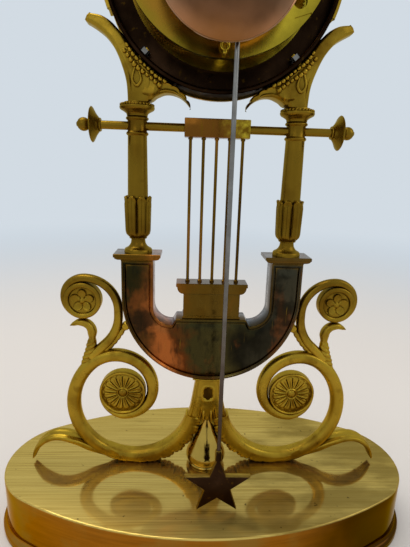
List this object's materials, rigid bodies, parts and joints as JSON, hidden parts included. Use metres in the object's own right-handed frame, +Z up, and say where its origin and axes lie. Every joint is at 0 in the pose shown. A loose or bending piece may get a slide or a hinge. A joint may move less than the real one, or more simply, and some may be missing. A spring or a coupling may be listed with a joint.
{
  "type": "lyre clock",
  "caption": "Gilt lyre mantel clock on an oval base, with scrolls, strings, columns, a round striking movement, a bell and a star pendulum.",
  "frame": {"origin": "centre of the base's underside, on the table", "axes": "+Z up, the dial faces -Y, the movement and pendulum are on the +Y side, +X to the right from the front"},
  "size_m": [0.266, 0.132, 0.3865],
  "materials": {
    "gilt_bronze": "matte gilt with worn edges",
    "base_brass": "brushed satin brass",
    "bright_gilt": "polished gilt",
    "tarnished_brass": "tarnished, semi-gloss",
    "dark_bronze": "dark patina, satin",
    "plate_brass": "satin brass",
    "steel": "bright steel",
    "blued_steel": "blued, gloss",
    "bell_bronze": "polished bell bronze",
    "enamel": "gloss white enamel",
    "clear_glass": "clear"
  },
  "bodies": {
    "clock": {"stem": "gilt_bronze", "scroll_ring_left": "gilt_bronze", "scroll_ring_right": "gilt_bronze", "scroll_top_left": "gilt_bronze", "scroll_top_right": "gilt_bronze", "bud_leaves": "gilt_bronze", "foot_leaves": "gilt_bronze", "braces": "gilt_bronze", "big_rosettes": "gilt_bronze", "small_rosettes": "gilt_bronze", "strings": "gilt_bronze", "crossbar": "gilt_bronze", "finials": "gilt_bronze", "column_left": "gilt_bronze", "column_right": "gilt_bronze", "sheaths": "gilt_bronze", "collars": "gilt_bronze", "bracket_left": "gilt_bronze", "bracket_right": "gilt_bronze", "drum_hoop": "gilt_bronze", "base_shell": "base_brass", "base_moulding": "base_brass", "pear_drop": "bright_gilt", "lyre_band": "tarnished_brass", "lyre_back": "tarnished_brass", "lyre_front": "tarnished_brass", "plinth_caps": "tarnished_brass", "bridge": "tarnished_brass", "tailpiece": "tarnished_brass", "drum_case": "dark_bronze", "drum_flange": "dark_bronze", "dial_ring": "dark_bronze", "front_plate": "plate_brass", "back_plate": "plate_brass", "pillars": "plate_brass", "back_cock": "plate_brass", "fixing_nuts": "steel", "hinge_pin": "steel", "bell_stand": "steel", "bell": "bell_bronze", "dial": "enamel"},
    "bezel_door": {"bezel": "bright_gilt", "glass": "clear_glass"},
    "minute_train": {"cannon_pinion": "steel", "minute_hand": "blued_steel"},
    "centre_wheel": {"centre_wheel": "plate_brass"},
    "hour_train": {"hour_wheel": "plate_brass", "hour_hand": "blued_steel"},
    "minute_wheel": {"minute_wheel": "plate_brass"},
    "going_barrel": {"going_barrel": "plate_brass"},
    "going_arbor": {"going_arbor": "steel"},
    "strike_barrel": {"strike_barrel": "plate_brass"},
    "strike_arbor": {"strike_arbor": "steel"},
    "third_wheel": {"third_wheel": "plate_brass"},
    "escape_wheel": {"escape_wheel": "plate_brass"},
    "pallets": {"pallets": "steel", "crutch": "plate_brass"},
    "pendulum": {"pendulum_rod": "steel", "star": "dark_bronze"},
    "hammer": {"hammer": "steel"}
  },
  "joints": [
    {"name": "pendulum_swing", "type": "hinge", "parent": "clock", "child": "pendulum", "pos_m": [-0.0045, 0.044, 0.361], "axis": [0, 1, 0], "range_deg": [-4, 4]},
    {"name": "pallets_rock", "type": "hinge", "parent": "clock", "child": "pallets", "pos_m": [0, 0.03, 0.361], "axis": [0, 1, 0], "range_deg": [-4, 4]},
    {"name": "minute_turn", "type": "hinge", "parent": "clock", "child": "minute_train", "pos_m": [0, -0.006, 0.325], "axis": [0, 1, 0], "continuous": true},
    {"name": "centre_turn", "type": "hinge", "parent": "clock", "child": "centre_wheel", "pos_m": [0, 0.02, 0.325], "axis": [0, 1, 0], "continuous": true},
    {"name": "hour_turn", "type": "hinge", "parent": "clock", "child": "hour_train", "pos_m": [0, -0.008, 0.325], "axis": [0, 1, 0], "continuous": true},
    {"name": "minute_wheel_turn", "type": "hinge", "parent": "clock", "child": "minute_wheel", "pos_m": [-0.01, 0, 0.325], "axis": [0, 1, 0], "continuous": true},
    {"name": "going_barrel_turn", "type": "hinge", "parent": "clock", "child": "going_barrel", "pos_m": [0.01639, 0.02, 0.30679], "axis": [0, 1, 0], "continuous": true},
    {"name": "third_turn", "type": "hinge", "parent": "clock", "child": "third_wheel", "pos_m": [0.0072, 0.02, 0.33747], "axis": [0, 1, 0], "continuous": true},
    {"name": "escape_turn", "type": "hinge", "parent": "clock", "child": "escape_wheel", "pos_m": [0, 0.02, 0.34695], "axis": [0, 1, 0], "continuous": true},
    {"name": "going_wind", "type": "hinge", "parent": "clock", "child": "going_arbor", "pos_m": [0.01639, 0.02, 0.30679], "axis": [0, 1, 0], "continuous": true},
    {"name": "strike_barrel_turn", "type": "hinge", "parent": "clock", "child": "strike_barrel", "pos_m": [-0.01639, 0.02, 0.30679], "axis": [0, 1, 0], "continuous": true},
    {"name": "strike_wind", "type": "hinge", "parent": "clock", "child": "strike_arbor", "pos_m": [-0.01639, 0.02, 0.30679], "axis": [0, 1, 0], "continuous": true},
    {"name": "hammer_lift", "type": "hinge", "parent": "clock", "child": "hammer", "pos_m": [0.032, 0.045, 0.341], "axis": [0, 1, 0], "range_deg": [0, 22], "stiffness_Nm_per_rad": 0.005, "springref_deg": -5.73},
    {"name": "bezel_open", "type": "hinge", "parent": "clock", "child": "bezel_door", "pos_m": [0.064, -0.012, 0.325], "axis": [0, 0, 1], "range_deg": [0, 110]}
  ],
  "couplings": [
    {"joint": "pallets_rock", "follows": "pendulum_swing", "ratio": 1},
    {"joint": "hour_turn", "follows": "minute_turn", "ratio": 0.083333},
    {"joint": "minute_wheel_turn", "follows": "minute_turn", "ratio": -0.33333},
    {"joint": "third_turn", "follows": "escape_turn", "ratio": -0.13333},
    {"joint": "centre_turn", "follows": "escape_turn", "ratio": 0.016667},
    {"joint": "going_barrel_turn", "follows": "escape_turn", "ratio": -0.0027778}
  ]
}
